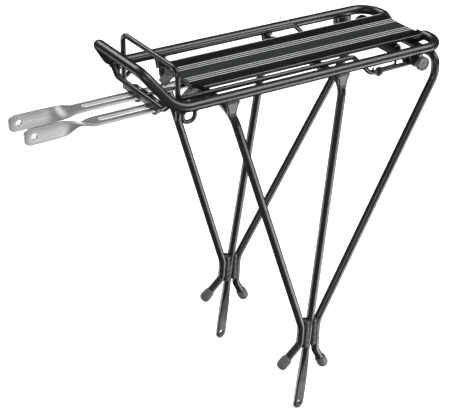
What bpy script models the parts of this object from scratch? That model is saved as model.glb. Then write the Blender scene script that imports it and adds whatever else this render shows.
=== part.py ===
"""Bicycle rear rack: welded tube frame, slide-on accessory plate, sprung luggage bail and two sliding stays.

Origin: midway between the two axle eyelets. +X points to the rear of the bicycle, +Z up, -Y is its left side.
"""

import math

import bmesh
import bpy
from mathutils import Matrix, Vector

MM = 0.001
GAP = 0.3                     # clearance between neighbouring pieces

# Driving dimensions, millimetres
RAIL_Y = 61.65                # half the spacing of the two top rails
RAIL_Z = 380.0                # rail centre line above the eyelets
RAIL_R = 5.0
LEG_R = 4.25
CROSS_Z = RAIL_Z - RAIL_R - LEG_R - GAP     # cross tubes pass just under the rails
RAIL_FRONT_X = -118.0
RAIL_REAR_X = 146.0
FRONT_X = -94.0               # the three arches of legs and cross tubes
MIDDLE_X = 38.5
REAR_X = 159.5
EYELET_Y = 77.7
CLUSTER_Y = 76.4              # where the legs of one side are welded together
CLUSTER_Z = 92.0
CLUSTER_X = (-1.5, 8.3, 18.1)
HOOP_TOP = (-175.0, 42.2, 413.0)
HOOP_KNEE_X = -150.0
LOOP_REAR_X = 170.0
LOOP_DIP_Z = 371.2
PLATE_X0, PLATE_X1 = -110.0, 167.0
PLATE_HALF = 34.5
PLATE_TOP = 382.0
WING_T = 2.4
FOOT_Z = CROSS_Z + LEG_R + GAP
BAIL_Y = 50.3
BAIL_X = -142.0
BAIL_TOP = 413.5
BAIL_FOOT = 363.0
BAIL_R = 2.6
ARM_R = 2.4
ARM_Z = 383.8
ARM_LOW_Z = 361.3             # the arms drop below the rails behind the middle legs
AXLE_X, AXLE_Z = 137.4, 367.6
AXLE_R = 3.0
AXLE_END = 66.0
EYE_R = 5.6                   # outer radius of the eyes that ride on the axle
STAY_Y = 16.1
STAY_Z = 363.9
STAY_W, STAY_T = 16.0, 3.0
STAY_X0, STAY_X1 = -280.5, -86.0
STAY_HOLE_X = -271.0
TWIST_X0, TWIST_X1 = -246.0, -211.0
SLOT_X0, SLOT_X1 = -207.0, -98.0
SLOT_W = 6.4
CLAMP_X = -146.5
BAR_HALF = 33.0
LOWER_HOOP_X, LOWER_HOOP_Z = -153.0, 373.5

for old in list(bpy.data.objects):
    bpy.data.objects.remove(old, do_unlink=True)


def material(name, colour, roughness, metallic):
    made = bpy.data.materials.new(name)
    made.use_nodes = True
    shader = made.node_tree.nodes["Principled BSDF"]
    shader.inputs["Base Color"].default_value = (*colour, 1.0)
    shader.inputs["Roughness"].default_value = roughness
    shader.inputs["Metallic"].default_value = metallic
    return made


BLACK = ((0.012, 0.012, 0.013), 0.28, 0.0)
WIRE = ((0.014, 0.014, 0.015), 0.32, 0.0)
PLATE = ((0.020, 0.021, 0.021), 0.42, 0.35)
PLASTIC = ((0.030, 0.030, 0.031), 0.55, 0.0)
GREY = ((0.085, 0.085, 0.088), 0.55, 0.0)
SPRING = ((0.015, 0.015, 0.016), 0.32, 0.2)
SILVER = ((0.52, 0.52, 0.53), 0.36, 1.0)
STEEL = ((0.40, 0.40, 0.41), 0.32, 1.0)


def finish(obj, look, smooth=True):
    obj.data.materials.clear()
    obj.data.materials.append(material(obj.name, *look))
    if smooth and obj.type == "MESH":
        obj.data.shade_smooth()
        obj.data.set_sharp_from_angle(angle=math.radians(35))
    return obj


def mesh_object(name, verts, faces, look, smooth=True):
    mesh = bpy.data.meshes.new(name)
    mesh.from_pydata([tuple(MM * c for c in v) for v in verts], [], faces)
    work = bmesh.new()
    work.from_mesh(mesh)
    bmesh.ops.recalc_face_normals(work, faces=work.faces)
    work.to_mesh(mesh)
    work.free()
    obj = bpy.data.objects.new(name, mesh)
    bpy.context.scene.collection.objects.link(obj)
    return finish(obj, look, smooth)


def centred(obj, pivot):
    """Move the object's origin to the pivot without moving its shape."""
    pivot = Vector(pivot) * MM
    obj.data.transform(Matrix.Translation(-pivot))
    obj.location = pivot
    return obj


def rounded(points, radii, step=12.0):
    """The polyline with each inner corner replaced by an arc of the given radius."""
    points = [Vector(p) for p in points]
    path = [points[0]]
    for before, corner, after, radius in zip(points, points[1:], points[2:], radii):
        u = (before - corner).normalized()
        v = (after - corner).normalized()
        inner = math.acos(max(-1.0, min(1.0, u.dot(v))))
        turn = math.pi - inner
        if radius <= 0 or turn < 0.01:
            path.append(corner)
            continue
        centre = corner + (u + v).normalized() * (radius / math.sin(inner / 2))
        start = corner + u * (radius / math.tan(inner / 2)) - centre
        end = corner + v * (radius / math.tan(inner / 2)) - centre
        count = max(2, math.ceil(math.degrees(turn) / step))
        for i in range(count + 1):
            w = i / count
            arm = (start * math.sin((1 - w) * turn) + end * math.sin(w * turn)) / math.sin(turn)
            path.append(centre + arm)
    path.append(points[-1])
    return path


def tube(name, path, radius, look, sides=12):
    curve = bpy.data.curves.new(name, "CURVE")
    curve.dimensions = "3D"
    curve.bevel_depth = radius * MM
    curve.bevel_resolution = sides // 2 - 2
    curve.use_fill_caps = True
    spline = curve.splines.new("POLY")
    spline.points.add(len(path) - 1)
    for point, place in zip(spline.points, path):
        point.co = (*(Vector(place) * MM), 1.0)
    obj = bpy.data.objects.new(name, curve)
    bpy.context.scene.collection.objects.link(obj)
    obj.data.materials.append(material(name, *look))
    return obj


def lathe(name, profile, origin, axis, look, sides=20):
    """A solid of revolution: (radius, height) pairs from one end to the other, closed on the axis."""
    turn = Vector((0, 0, 1)).rotation_difference(Vector(axis).normalized()).to_matrix()
    origin = Vector(origin)
    verts, rings = [], []
    for radius, height in profile:
        if radius <= 0:
            rings.append([len(verts)])
            verts.append(origin + turn @ Vector((0, 0, height)))
            continue
        rings.append(list(range(len(verts), len(verts) + sides)))
        for i in range(sides):
            a = math.tau * i / sides
            verts.append(origin + turn @ Vector((radius * math.cos(a), radius * math.sin(a), height)))
    return mesh_object(name, verts, bridge(rings), look)


def bridge(rings, caps=True):
    faces = []
    for low, high in zip(rings, rings[1:]):
        if len(low) == 1:
            faces += [(low[0], high[i], high[i - 1]) for i in range(len(high))]
        elif len(high) == 1:
            faces += [(high[0], low[i - 1], low[i]) for i in range(len(low))]
        else:
            faces += [(low[i - 1], low[i], high[i], high[i - 1]) for i in range(len(low))]
    if caps and len(rings[0]) > 1:
        faces.append(tuple(reversed(rings[0])))
    if caps and len(rings[-1]) > 1:
        faces.append(tuple(rings[-1]))
    return faces


def washer_ring(name, inner, outer, thick, origin, axis, look, sides=20):
    """A ring with a through hole, standing on its origin along the axis."""
    turn = Vector((0, 0, 1)).rotation_difference(Vector(axis).normalized()).to_matrix()
    verts, rings = [], []
    for radius, height in ((inner, 0), (outer, 0), (outer, thick), (inner, thick)):
        rings.append(list(range(len(verts), len(verts) + sides)))
        for i in range(sides):
            a = math.tau * i / sides
            spot = turn @ Vector((radius * math.cos(a), radius * math.sin(a), height))
            verts.append(Vector(origin) + spot)
    return mesh_object(name, verts, bridge(rings + rings[:1], caps=False), look)


def loft(name, sections, look):
    """A closed body through rings of the same number of points."""
    verts, rings = [], []
    for section in sections:
        rings.append(list(range(len(verts), len(verts) + len(section))))
        verts += section
    return mesh_object(name, verts, bridge(rings), look)


def prism(name, outline, low, high, place, look, smooth=False):
    """An outline in two coordinates, extruded between low and high along the third one."""
    count = len(outline)
    verts = [place(a, b, c) for c in (low, high) for a, b in outline]
    rings = [list(range(count)), list(range(count, 2 * count))]
    return mesh_object(name, verts, bridge(rings), look, smooth)


def box(name, x0, x1, y0, y1, z0, z1, look):
    outline = [(x0, y0), (x1, y0), (x1, y1), (x0, y1)]
    return prism(name, outline, z0, z1, lambda a, b, c: (a, b, c), look)


def helper(obj):
    obj.hide_render = True
    obj.display_type = "WIRE"
    return obj


def cut(obj, *cutters):
    for tool in cutters:
        step = obj.modifiers.new("cut " + tool.name, "BOOLEAN")
        step.operation = "DIFFERENCE"
        step.solver = "EXACT"
        step.object = helper(tool)
    return obj


def mesh_tube(name, path, radius, sides=14):
    """The tube as a mesh, to cut with."""
    path = [Vector(p) for p in path]
    verts, rings = [], []
    side = None
    for i, point in enumerate(path):
        ahead = (path[min(i + 1, len(path) - 1)] - path[max(i - 1, 0)]).normalized()
        if side is None:
            side = ahead.orthogonal().normalized()
        side = (side - ahead * side.dot(ahead)).normalized()
        other = ahead.cross(side)
        rings.append(list(range(len(verts), len(verts) + sides)))
        for k in range(sides):
            a = math.tau * k / sides
            verts.append(point + radius * (math.cos(a) * side + math.sin(a) * other))
    return mesh_object(name, verts, bridge(rings), BLACK)


def bevel(obj, width, segments=1, angle=40):
    step = obj.modifiers.new("soft edges", "BEVEL")
    step.width = width * MM
    step.segments = segments
    step.limit_method = "ANGLE"
    step.angle_limit = math.radians(angle)
    return obj


SIDES = (("left", -1), ("right", 1))


def on_side(points, sign):
    return [Vector((x, sign * y, z)) for x, y, z in points]


# ---------------------------------------------------------------- top rails
for word, sign in SIDES:
    ends = on_side([(RAIL_FRONT_X + GAP, RAIL_Y, RAIL_Z), (RAIL_REAR_X - GAP, RAIL_Y, RAIL_Z)], sign)
    tube("rail_" + word, ends, RAIL_R, BLACK, 16)

knee = (HOOP_KNEE_X, RAIL_Y, RAIL_Z)
half = [(RAIL_FRONT_X, RAIL_Y, RAIL_Z), knee, HOOP_TOP]
hoop_corners = on_side(half, -1) + on_side(reversed(half), 1)
hoop_path = rounded(hoop_corners, (26, 13, 13, 26), 10)
tube("front_hoop", hoop_path, RAIL_R, BLACK, 16)

half = [(RAIL_REAR_X, RAIL_Y, RAIL_Z), (LOOP_REAR_X, RAIL_Y, RAIL_Z),
        (LOOP_REAR_X, 32.5, RAIL_Z), (LOOP_REAR_X, 18.5, LOOP_DIP_Z)]
loop_path = rounded(on_side(half, -1) + on_side(reversed(half), 1), (22, 9, 9, 9, 9, 22), 12)
tube("rear_loop", loop_path, RAIL_R, BLACK, 16)

# ------------------------------------------------- legs, welded side clusters
LEG_TOP_Y = 65.2


def leg_y(z):
    """The legs of one side spread slightly towards the bottom."""
    return LEG_TOP_Y + (CLUSTER_Y - LEG_TOP_Y) * (CROSS_Z - z) / (CROSS_Z - CLUSTER_Z)


CROSS_END = 40.0
LEG_END_Z = 66.6              # the middle leg goes over into the flattened eyelet here
front_x, middle_x, rear_x = CLUSTER_X
FRONT_BEND = (-2.4, 76.4, 77.0)
FRONT_TOE = (-17.6, 76.4, 63.4)
REAR_TOE = (25.6, 77.2, 50.0)
leg_routes = {
    "front": ([(FRONT_X, CROSS_END, CROSS_Z), (FRONT_X, LEG_TOP_Y, CROSS_Z),
               (front_x, leg_y(99), 99), FRONT_BEND, FRONT_TOE], (22, 22, 8)),
    "middle": ([(MIDDLE_X, CROSS_END, CROSS_Z), (MIDDLE_X, LEG_TOP_Y, CROSS_Z),
                (middle_x, CLUSTER_Y, CLUSTER_Z), (0.088 * LEG_END_Z, 76.8, LEG_END_Z)], (18, 60)),
    "rear": ([(REAR_X, CROSS_END, CROSS_Z), (REAR_X, 64.0, CROSS_Z), (REAR_X, 64.8, 349.0),
              (rear_x, leg_y(99), 99), (rear_x, 76.8, 64), REAR_TOE], (11, 22, 30, 14)),
}
leg_paths = {}
for row, (route, radii) in leg_routes.items():
    for word, sign in SIDES:
        path = rounded(on_side(route, sign), radii)
        leg_paths[row, word] = path
        tube(f"{row}_leg_{word}", path, LEG_R, BLACK)
    across = CROSS_END - GAP
    x = {"front": FRONT_X, "middle": MIDDLE_X, "rear": REAR_X}[row]
    tube(f"{row}_cross_tube", [(x, -across, CROSS_Z), (x, across, CROSS_Z)], LEG_R, BLACK)

for word, sign in SIDES:
    for pair, (a, b) in (("front", (front_x, middle_x)), ("rear", (middle_x, rear_x))):
        mid = (a + b) / 2
        name = f"{pair}_weld_{word}"
        y = sign * CLUSTER_Y
        filler = box(name, mid - 3.0, mid + 3.0, y - 4.9, y + 4.9, 74.0, 101.0, BLACK)
        rows = ("front", "middle") if pair == "front" else ("middle", "rear")
        tools = [mesh_tube(f"cut_{name}_{row}", leg_paths[row, word][-14:], LEG_R + GAP, 18) for row in rows]
        cut(filler, *tools)

# ---------------------------------------------------------- feet and eyelets
for word, sign in SIDES:
    for row, toe, before in (("front", FRONT_TOE, FRONT_BEND), ("rear", REAR_TOE, (rear_x, 76.8, 64))):
        start = on_side([toe], sign)[0]
        axis = (start - on_side([before], sign)[0]).normalized()
        profile = [(0, GAP), (5.3, GAP), (5.9, 1.2), (6.0, 8.0), (5.7, 10.6), (4.5, 12.8), (2.4, 13.9), (0, 14.2)]
        lathe(f"{row}_foot_cap_{word}", profile, start, axis, GREY)


def eyelet_section(x, y, z, half_x, half_y, count=20):
    """A flattened ring: round when both halves are equal, a flat-sided tab when half_x is larger."""
    ring = []
    for i in range(count):
        a = math.tau * (i + 0.5) / count
        power = 1.0 if half_x < 1.2 * half_y else 0.35
        dx = half_x * math.copysign(abs(math.cos(a)) ** 0.8, math.cos(a))
        dy = half_y * math.copysign(abs(math.sin(a)) ** power, math.sin(a))
        if power < 1.0 and abs(math.sin(a)) > 0.3:
            dy = math.copysign(half_y, dy)
        ring.append((x + dx, y + dy, z))
    return ring


for word, sign in SIDES:
    sections = []
    for z, half_x, half_y in ((LEG_END_Z - 0.8, 4.25, 4.25), (55, 4.6, 3.9), (40, 5.3, 3.0), (26, 5.8, 2.3),
                              (16, 6.0, 2.1), (2, 6.0, 2.1), (-2.5, 5.2, 2.1), (-5.5, 3.6, 2.1), (-7.0, 1.8, 2.1)):
        x = 0.088 * z
        y = sign * (EYELET_Y - 0.9 * max(z - 16, 0) / 50)
        sections.append(eyelet_section(x, y, z, half_x, half_y))
    tab = loft("eyelet_" + word, sections, BLACK)
    drill = lathe("drill_" + word, [(0, -6), (2.6, -6), (2.6, 6), (0, 6)],
                  (0, sign * EYELET_Y, 0), (0, 1, 0), BLACK, 16)
    cut(tab, drill)

# ------------------------------------------------------------------- gussets
for row, x, lean in (("front", FRONT_X, 1.6), ("middle", MIDDLE_X - 3.0, 1.8)):
    for word, sign in SIDES:
        low, high = 363.2, 377.2
        outline = [(x + lean - 4.3, low), (x + lean + 4.3, low), (x + lean + 4.1, low + 5.0),
                   (x + 6.8, high - 2.0), (x + 6.8, high), (x - 5.2, high), (x - 5.2, high - 2.0),
                   (x + lean - 4.1, low + 5.0)]
        name = f"{row}_gusset_{word}"
        y0, y1 = sorted((sign * (RAIL_Y + 0.6), sign * (RAIL_Y + 4.8)))
        web = prism(name, outline, y0, y1, lambda a, b, c: (a, c, b), BLACK)
        rail_run = on_side([(x - 30, RAIL_Y, RAIL_Z), (x + 30, RAIL_Y, RAIL_Z)], sign)
        tools = [mesh_tube("cut_leg_" + name, leg_paths[row, word][:18], LEG_R + GAP, 18),
                 mesh_tube("cut_rail_" + name, rail_run, RAIL_R + GAP, 18)]
        cut(web, *tools)

# ------------------------------------------ front lower hoop and tie-down loops
lower_route = [(LOWER_HOOP_X + 0.4, 52.5, 381.5), (LOWER_HOOP_X, 43.0, LOWER_HOOP_Z)]
lower_path = rounded(on_side(lower_route, -1) + on_side(reversed(lower_route), 1), (7, 7), 12)
tube("lower_hoop", lower_path, 2.7, BLACK, 12)

for word, sign in SIDES:
    top = RAIL_Z - RAIL_R - GAP
    loop = [(-143.2, 60.0, top), (-143.2, 60.0, 364.4), (-130.0, 60.0, 364.4), (-130.0, 60.0, top)]
    tube("tie_loop_" + word, rounded(on_side(loop, sign), (5.8, 5.8), 18), 2.1, WIRE, 10)

# ----------------------------------------------------------- accessory plate
RIB_TOP, FLAT_TOP = PLATE_TOP, PLATE_TOP - 0.8
WING_TOP = PLATE_TOP - 0.5


def plate_outline():
    """Cross-section of the extrusion: centre flat, three ribs a side, wing with lip, two feet below."""
    right = [(0.0, FLAT_TOP), (8.2, FLAT_TOP)]
    for i in range(3):
        start = 8.6 + 3.3 * i
        right += [(start, RIB_TOP), (start + 1.7, RIB_TOP), (start + 2.1, FLAT_TOP - 0.3), (start + 2.9, FLAT_TOP - 0.3)]
    right += [(19.4, WING_TOP), (PLATE_HALF - 1.6, WING_TOP), (PLATE_HALF - 1.2, WING_TOP + 0.6),
              (PLATE_HALF, WING_TOP + 0.6), (PLATE_HALF, WING_TOP - WING_T), (22.6, WING_TOP - WING_T),
              (21.6, WING_TOP - WING_T - 0.8), (21.6, FOOT_Z), (18.6, FOOT_Z), (18.6, WING_TOP - WING_T - 0.4),
              (0.0, WING_TOP - WING_T - 0.4)]
    left = [(-y, z) for y, z in reversed(right[1:-1])]
    return right + left


plate = prism("accessory_plate", plate_outline(), PLATE_X0, PLATE_X1, lambda y, z, x: (x, y, z), PLATE)
for word, sign in SIDES:
    corner = [(PLATE_X0 - 1, sign * (PLATE_HALF + 1)), (PLATE_X0 - 1, sign * (PLATE_HALF - 10)),
              (PLATE_X0 + 8, sign * (PLATE_HALF + 1))]
    cut(plate, prism("cut_corner_" + word, corner, 370, 390, lambda a, b, c: (a, b, c), BLACK))

for name, x0, x1 in (("front", PLATE_X0 - 1, -101.0), ("coil", AXLE_X - 13, AXLE_X + 13), ("rear", 158.0, PLATE_X1 + 1)):
    cut(plate, box(f"cut_{name}_feet", x0, x1, -24.0, 24.0, 370.0, WING_TOP - WING_T - 0.5, BLACK))
cut(plate, mesh_tube("cut_loop", loop_path, RAIL_R + GAP, 18))
box("plate_front_lip", PLATE_X0 - 2.3, PLATE_X0 - GAP, -24.0, 24.0, 377.6, 381.2, PLASTIC)
for word, sign in SIDES:
    y0, y1 = sorted((sign * 22.0, sign * 29.5))
    x = PLATE_X1 + GAP
    stop = [(x, 377.6), (x + 2.2, 377.6), (x + 2.2, 382.6), (x + 1.2, 383.4), (x, 383.4)]
    block = prism("plate_stop_" + word, stop, y0, y1, lambda a, b, c: (a, c, b), PLASTIC)
    cut(block, mesh_tube("cut_loop_" + word, loop_path, RAIL_R + GAP, 18))

# ---------------------------------------------- rubber supports under the plate
for word, sign in SIDES:
    slab = box("plate_support_" + word, -7.0, 7.0, -4.2, 4.2, -2.9, 2.9, GREY)
    bevel(slab, 0.9, 2)
    slab.location = Vector((-111.4, sign * 20.9, 372.0)) * MM
    slab.rotation_euler = (0, math.radians(-40), 0)

# ------------------------------------------------ stay bracket and clamp bolts
bar_x0, bar_x1 = LOWER_HOOP_X - 0.5, CLAMP_X + 7.0
bar_low = STAY_Z + STAY_T / 2 + GAP
bar_top = bar_low + 2.6
lip_x, lip_top = LOWER_HOOP_X + 1.8, LOWER_HOOP_Z - 2.7 - GAP
angle = [(bar_x0, bar_low), (bar_x1, bar_low), (bar_x1, bar_top), (lip_x, bar_top), (lip_x, lip_top), (bar_x0, lip_top)]
bracket = prism("stay_bracket", angle, -BAR_HALF, BAR_HALF, lambda x, z, y: (x, y, z), BLACK)
for word, sign in SIDES:
    cut(bracket, lathe("cut_clamp_" + word, [(0, -3), (3.0, -3), (3.0, 6), (0, 6)],
                       (CLAMP_X, sign * STAY_Y, bar_low), (0, 0, 1), BLACK, 16))
brace_z = bar_top + GAP + 1.4
tube("bracket_brace", [(lip_x + GAP, 0, brace_z), (FRONT_X - LEG_R - GAP, 0, brace_z)], 1.4, WIRE, 8)

stay_low = STAY_Z - STAY_T / 2
for word, sign in SIDES:
    centre = (CLAMP_X, sign * STAY_Y, bar_top)
    shank = bar_top - stay_low + 6.0
    profile = [(0, -shank), (2.5, -shank), (2.5, GAP), (3.9, GAP), (3.9, 2.0), (3.0, 3.2), (0, 3.3)]
    centred(lathe("clamp_bolt_" + word, profile, centre, (0, 0, 1), STEEL, 16), centre)
    nut = washer_ring("clamp_nut_" + word, 2.8, 5.2, 4.2, (CLAMP_X, sign * STAY_Y, stay_low - GAP), (0, 0, -1),
                      STEEL, 12)
    centred(nut, centre)


# --------------------------------------------------------------------- stays
def stay_section(x, y, turn, wide, thick=STAY_T):
    """Rectangle across the strip, turned about its length."""
    ring = []
    for a, b in ((-1, -1), (1, -1), (1, 1), (-1, 1)):
        u, v = a * wide / 2, b * thick / 2
        ring.append((x, y + u * math.cos(turn) - v * math.sin(turn), STAY_Z + u * math.sin(turn) + v * math.cos(turn)))
    return ring


for word, sign in SIDES:
    y = sign * STAY_Y
    upright = sign * math.pi / 2
    sections = []
    for x, wide in ((STAY_X0, 8.0), (STAY_X0 + 1.4, 11.6), (STAY_X0 + 3.4, 14.2), (STAY_X0 + 6.5, STAY_W), (TWIST_X0, STAY_W)):
        sections.append(stay_section(x, y, upright, wide))
    for i in range(1, 12):
        w = i / 12
        ease = w * w * (3 - 2 * w)
        narrow = STAY_W - 1.6 * math.sin(math.pi * w)
        sections.append(stay_section(TWIST_X0 + w * (TWIST_X1 - TWIST_X0), y, upright * (1 - ease), narrow))
    for x, wide in ((TWIST_X1, STAY_W), (STAY_X1 - 5.0, STAY_W), (STAY_X1 - 1.5, 11.5), (STAY_X1, 7.0)):
        sections.append(stay_section(x, y, 0.0, wide))
    strip = loft("stay_" + word, sections, SILVER)
    half_slot = SLOT_W / 2
    outline = []
    for cx, a0 in ((SLOT_X1 - half_slot, -90), (SLOT_X0 + half_slot, 90)):
        for i in range(9):
            a = math.radians(a0 + 22.5 * i)
            outline.append((cx + half_slot * math.cos(a), y + half_slot * math.sin(a)))
    slot = prism("cut_slot_" + word, outline, STAY_Z - 6, STAY_Z + 6, lambda a, b, c: (a, b, c), BLACK)
    hole = lathe("cut_hole_" + word, [(0, -6), (3.0, -6), (3.0, 6), (0, 6)],
                 (STAY_HOLE_X, y, STAY_Z), (0, 1, 0), BLACK, 20)
    cut(strip, slot, hole)

# ------------------------------------------------------- bail pivot at the rear
for word, sign in SIDES:
    y0, y1 = sorted((sign * 57.2, sign * 61.2))
    low = AXLE_Z - 6.6
    outline = [(AXLE_X - 9.5, RAIL_Z - 1), (AXLE_X - 7.5, low + 4.0), (AXLE_X - 3.5, low), (AXLE_X + 3.5, low),
               (AXLE_X + 6.6, low + 3.6), (AXLE_X + 7.0, RAIL_Z - 1)]
    lug = prism("pivot_bracket_" + word, outline, y0, y1, lambda a, b, c: (a, c, b), BLACK)
    above = box("cut_above_lug_" + word, AXLE_X - 20, AXLE_X + 20, y0 - 1, y1 + 1, RAIL_Z - RAIL_R - GAP, RAIL_Z + 5, BLACK)
    bore = lathe("cut_bore_" + word, [(0, -9), (AXLE_R + GAP, -9), (AXLE_R + GAP, 9), (0, 9)],
                 (AXLE_X, sign * 59.2, AXLE_Z), (0, 1, 0), BLACK, 18)
    cut(lug, above, bore)
    cap = [(0, GAP), (6.6, GAP), (7.4, 1.0), (7.4, 4.4), (6.8, 5.2), (0, 5.2)]
    lathe("axle_cap_" + word, cap, (AXLE_X, sign * AXLE_END, AXLE_Z), (0, sign, 0), GREY, 24)

tube("pivot_axle", [(AXLE_X, -AXLE_END, AXLE_Z), (AXLE_X, AXLE_END, AXLE_Z)], AXLE_R, SPRING, 16)

# ---------------------------------------------------------------------- bail
upright_route = [(BAIL_X, BAIL_Y, BAIL_FOOT), (BAIL_X - 1.0, BAIL_Y, BAIL_TOP)]
upright_path = rounded(on_side(upright_route, -1) + on_side(reversed(upright_route), 1), (8, 8), 15)
tube("bail_upright", upright_path, BAIL_R, WIRE, 12)
for word, sign in SIDES:
    route = [(BAIL_X + BAIL_R + GAP, BAIL_Y, ARM_Z), (61.0, BAIL_Y, ARM_Z), (85.0, BAIL_Y, ARM_LOW_Z),
             (AXLE_X - 0.5, BAIL_Y, ARM_LOW_Z + 0.4)]
    arm = mesh_tube("bail_arm_" + word, rounded(on_side(route, sign), (9, 13), 12), ARM_R, 12)
    finish(arm, WIRE)
    eye = washer_ring("eye_" + word, AXLE_R + GAP, EYE_R, 8.0, (AXLE_X, sign * (BAIL_Y - 4.0), AXLE_Z),
                      (0, sign, 0), WIRE, 20)
    join = arm.modifiers.new("join eye", "BOOLEAN")
    join.operation = "UNION"
    join.solver = "EXACT"
    join.object = helper(eye)
    clip = washer_ring("bail_clip_" + word, ARM_R + 0.8, 5.2, 3.2, (0, 0, -1.6), (0, 0, 1), WIRE, 12)
    clip.location = Vector((97.0, sign * BAIL_Y, ARM_LOW_Z + 0.1)) * MM
    clip.rotation_euler = (0, math.radians(74), 0)

# ------------------------------------------------------------ torsion springs
COIL_R, WIRE_R, TURNS, PITCH, COIL_Y = 5.3, 1.2, 8, 3.1, 2.4


def spring_path(sign):
    """Anchored behind on the rear cross tube, wound round the axle, then led forward along the arm."""
    points = [Vector((REAR_X - LEG_R - GAP, sign * COIL_Y, AXLE_Z + COIL_R - 1.0))]
    steps = 9
    for i in range(TURNS * steps + 4):
        a = math.radians(60) + math.tau * i / steps
        y = COIL_Y + PITCH * i / steps
        points.append(Vector((AXLE_X + COIL_R * math.cos(a), sign * y, AXLE_Z + COIL_R * math.sin(a))))
    return points


def lead_path(sign):
    """The coil's free end, which rides with the arm: it starts beside the last turn and hooks under the arm."""
    y = COIL_Y + PITCH * (TURNS + 0.34) + 2 * WIRE_R + GAP
    route = ((AXLE_X - COIL_R, y, AXLE_Z + 0.6), (AXLE_X - 6.6, y + 2.0, AXLE_Z - 2.4),
             (AXLE_X - 12.0, BAIL_Y - 9.0, ARM_LOW_Z + 1.4), (AXLE_X - 19.0, BAIL_Y - 4.2, ARM_LOW_Z),
             (101.0, BAIL_Y - 4.0, ARM_LOW_Z))
    return on_side(route, sign)


for word, sign in SIDES:
    tube("torsion_spring_" + word, spring_path(sign), WIRE_R, SPRING, 6)
    tube("spring_lead_" + word, lead_path(sign), WIRE_R, SPRING, 6)
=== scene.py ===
"""Looks of the bicycle rear rack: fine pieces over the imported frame, materials, camera and light."""
import math

import bmesh
import bpy
from mathutils import Matrix, Vector


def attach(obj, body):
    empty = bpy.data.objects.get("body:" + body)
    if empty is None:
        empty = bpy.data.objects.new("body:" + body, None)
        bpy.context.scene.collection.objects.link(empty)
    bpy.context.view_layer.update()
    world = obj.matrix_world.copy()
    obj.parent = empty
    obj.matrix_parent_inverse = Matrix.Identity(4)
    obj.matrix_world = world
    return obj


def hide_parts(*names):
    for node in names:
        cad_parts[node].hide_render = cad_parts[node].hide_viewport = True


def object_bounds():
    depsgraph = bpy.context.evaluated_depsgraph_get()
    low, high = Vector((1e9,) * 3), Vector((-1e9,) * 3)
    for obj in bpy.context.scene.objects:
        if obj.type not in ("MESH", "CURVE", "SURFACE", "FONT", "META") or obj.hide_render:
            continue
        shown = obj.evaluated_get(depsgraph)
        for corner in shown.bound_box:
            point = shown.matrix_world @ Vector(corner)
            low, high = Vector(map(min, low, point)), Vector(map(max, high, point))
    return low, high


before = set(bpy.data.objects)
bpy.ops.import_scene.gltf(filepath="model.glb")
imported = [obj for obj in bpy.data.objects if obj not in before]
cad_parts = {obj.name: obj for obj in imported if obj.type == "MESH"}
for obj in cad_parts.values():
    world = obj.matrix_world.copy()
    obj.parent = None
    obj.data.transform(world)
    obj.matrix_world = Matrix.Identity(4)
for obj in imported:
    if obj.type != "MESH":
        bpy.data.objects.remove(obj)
cad_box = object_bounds()

MM = 0.001
SIDES = (("left", -1), ("right", 1))

# The route's points and sizes are those of part.py, in millimetres.
RAIL_Y, RAIL_Z, RAIL_R = 61.65, 380.0, 5.0
LEG_R = 4.25
CROSS_Z = 370.45
RAIL_FRONT_X, RAIL_REAR_X = -118.0, 146.0
FRONT_X, MIDDLE_X, REAR_X = -94.0, 38.5, 159.5
EYELET_Y = 77.7
CLUSTER_Y, CLUSTER_Z = 76.4, 92.0
CLUSTER_X = (-1.5, 8.3, 18.1)
HOOP_TOP = (-175.0, 42.2, 413.0)
HOOP_KNEE_X = -150.0
LOOP_REAR_X, LOOP_DIP_Z = 170.0, 371.2
PLATE_X0, PLATE_X1 = -110.0, 167.0
PLATE_HALF, PLATE_TOP, WING_T, PLATE_FEET_Z = 34.5, 382.0, 2.4, 375.0
BAIL_Y, BAIL_X, BAIL_TOP, BAIL_FOOT, BAIL_R = 50.3, -142.0, 413.5, 363.0, 2.6
ARM_R, ARM_Z, ARM_LOW_Z = 2.4, 383.8, 361.3
AXLE_X, AXLE_Z, AXLE_R, AXLE_END = 137.4, 367.6, 3.0, 66.0
STAY_Y, STAY_Z, STAY_W, STAY_T = 16.1, 363.9, 16.0, 3.0
STAY_X0, STAY_X1, STAY_HOLE_X = -280.5, -86.0, -271.0
TWIST_X0, TWIST_X1 = -246.0, -211.0
SLOT_X0, SLOT_X1, SLOT_W = -207.0, -98.0, 6.4
CLAMP_X, BAR_HALF = -146.5, 33.0
LOWER_HOOP_X, LOWER_HOOP_Z = -153.0, 373.5
LEG_TOP_Y, CROSS_HALF = 65.2, 40.0
GUSSET_LOW, GUSSET_HIGH = 362.6, 377.4
WELD_LOW, WELD_HIGH, WELD_OUT, WELD_FLATTEN = 72.5, 105.5, 2.9, 0.68
LOWER_ROD_R, TIE_R, BRACE_R = 2.7, 2.1, 1.4
TIE_Y, TIE_X0, TIE_X1, TIE_LOW_Z = 60.0, -143.2, -130.0, 364.4
LEG_END_Z, LEG_LEAN = 66.6, 0.088
FRONT_BEND = (-2.4, 76.4, 77.0)
FRONT_TOE = (-17.6, 76.4, 63.4)
REAR_BEND = (CLUSTER_X[2], 76.8, 64.0)
REAR_TOE = (25.6, 77.2, 50.0)


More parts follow.
